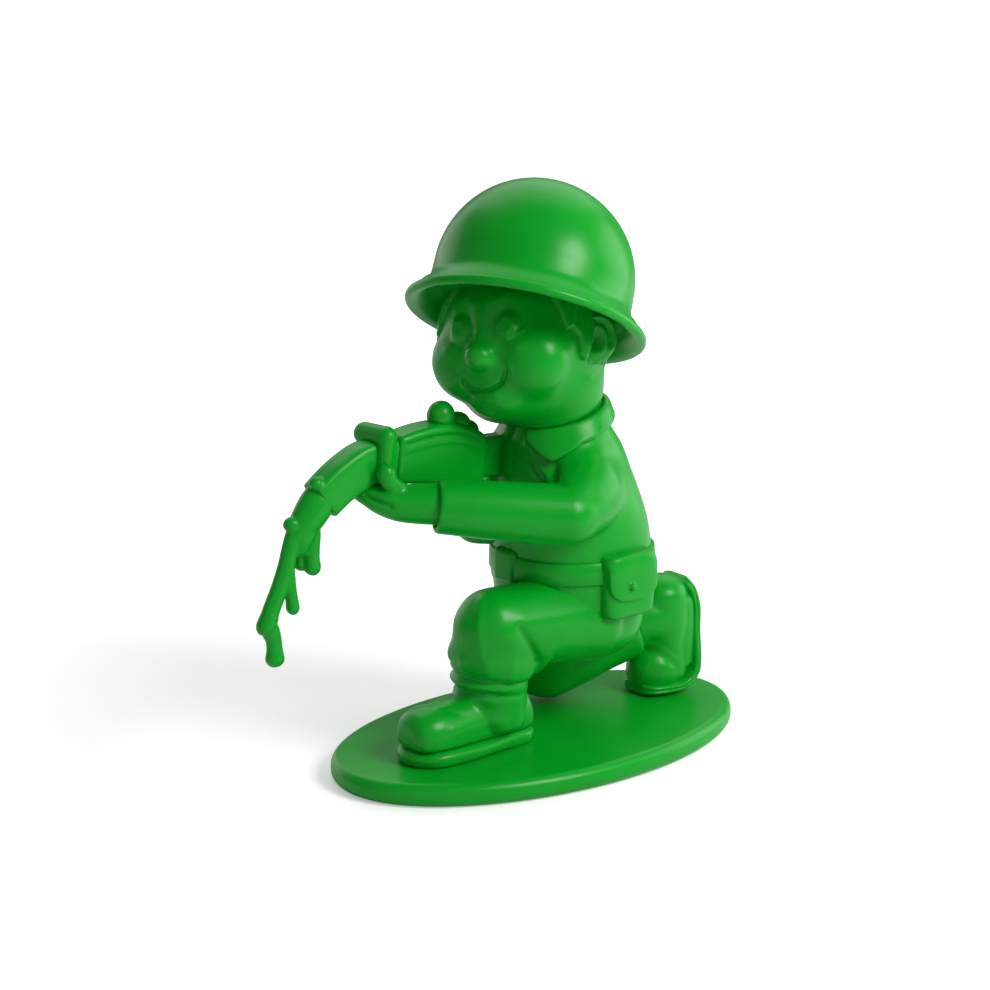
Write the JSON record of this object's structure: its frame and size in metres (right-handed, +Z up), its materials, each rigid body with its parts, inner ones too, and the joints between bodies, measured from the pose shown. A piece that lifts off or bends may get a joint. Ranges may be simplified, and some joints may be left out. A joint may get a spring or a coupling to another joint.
{
  "type": "toy soldier figure",
  "caption": "Kneeling toy soldier figure in one glossy green, helmet over a turning head, aiming a rifle whose muzzle melts and drips, on an oval base.",
  "frame": {"origin": "middle of the oval base's underside", "axes": "+Z up, the soldier looks along -Y, the soldier's left hand is towards +X"},
  "size_m": [0.1198, 0.2385, 0.2504],
  "materials": {
    "green_vinyl": "satin to glossy, one colour all over"
  },
  "bodies": {
    "figure": {"base_plate": "green_vinyl", "left_boot_sole": "green_vinyl", "left_boot": "green_vinyl", "right_boot_sole": "green_vinyl", "right_boot": "green_vinyl", "left_trouser_leg": "green_vinyl", "right_trouser_leg": "green_vinyl", "trouser_seat": "green_vinyl", "jacket_skirt": "green_vinyl", "jacket": "green_vinyl", "belt": "green_vinyl", "belt_buckle": "green_vinyl", "hip_pouch": "green_vinyl", "hip_pouch_flap": "green_vinyl", "front_pouch": "green_vinyl", "collar": "green_vinyl", "left_sleeve": "green_vinyl", "right_sleeve": "green_vinyl", "left_hand": "green_vinyl", "right_hand": "green_vinyl", "rifle_receiver": "green_vinyl", "rifle_stock": "green_vinyl", "rifle_grip": "green_vinyl", "rifle_band": "green_vinyl", "rifle_handguard": "green_vinyl", "rifle_melt": "green_vinyl", "rifle_sight": "green_vinyl", "neck_pin": "green_vinyl"},
    "head": {"head": "green_vinyl", "left_ear": "green_vinyl", "right_ear": "green_vinyl", "hair": "green_vinyl", "helmet": "green_vinyl"}
  },
  "joints": [
    {"name": "neck_swivel", "type": "hinge", "parent": "figure", "child": "head", "pos_m": [0, 0.01102, 0.14797], "axis": [0, -0.2419, 0.9703], "range_deg": [-30, 25]}
  ]
}
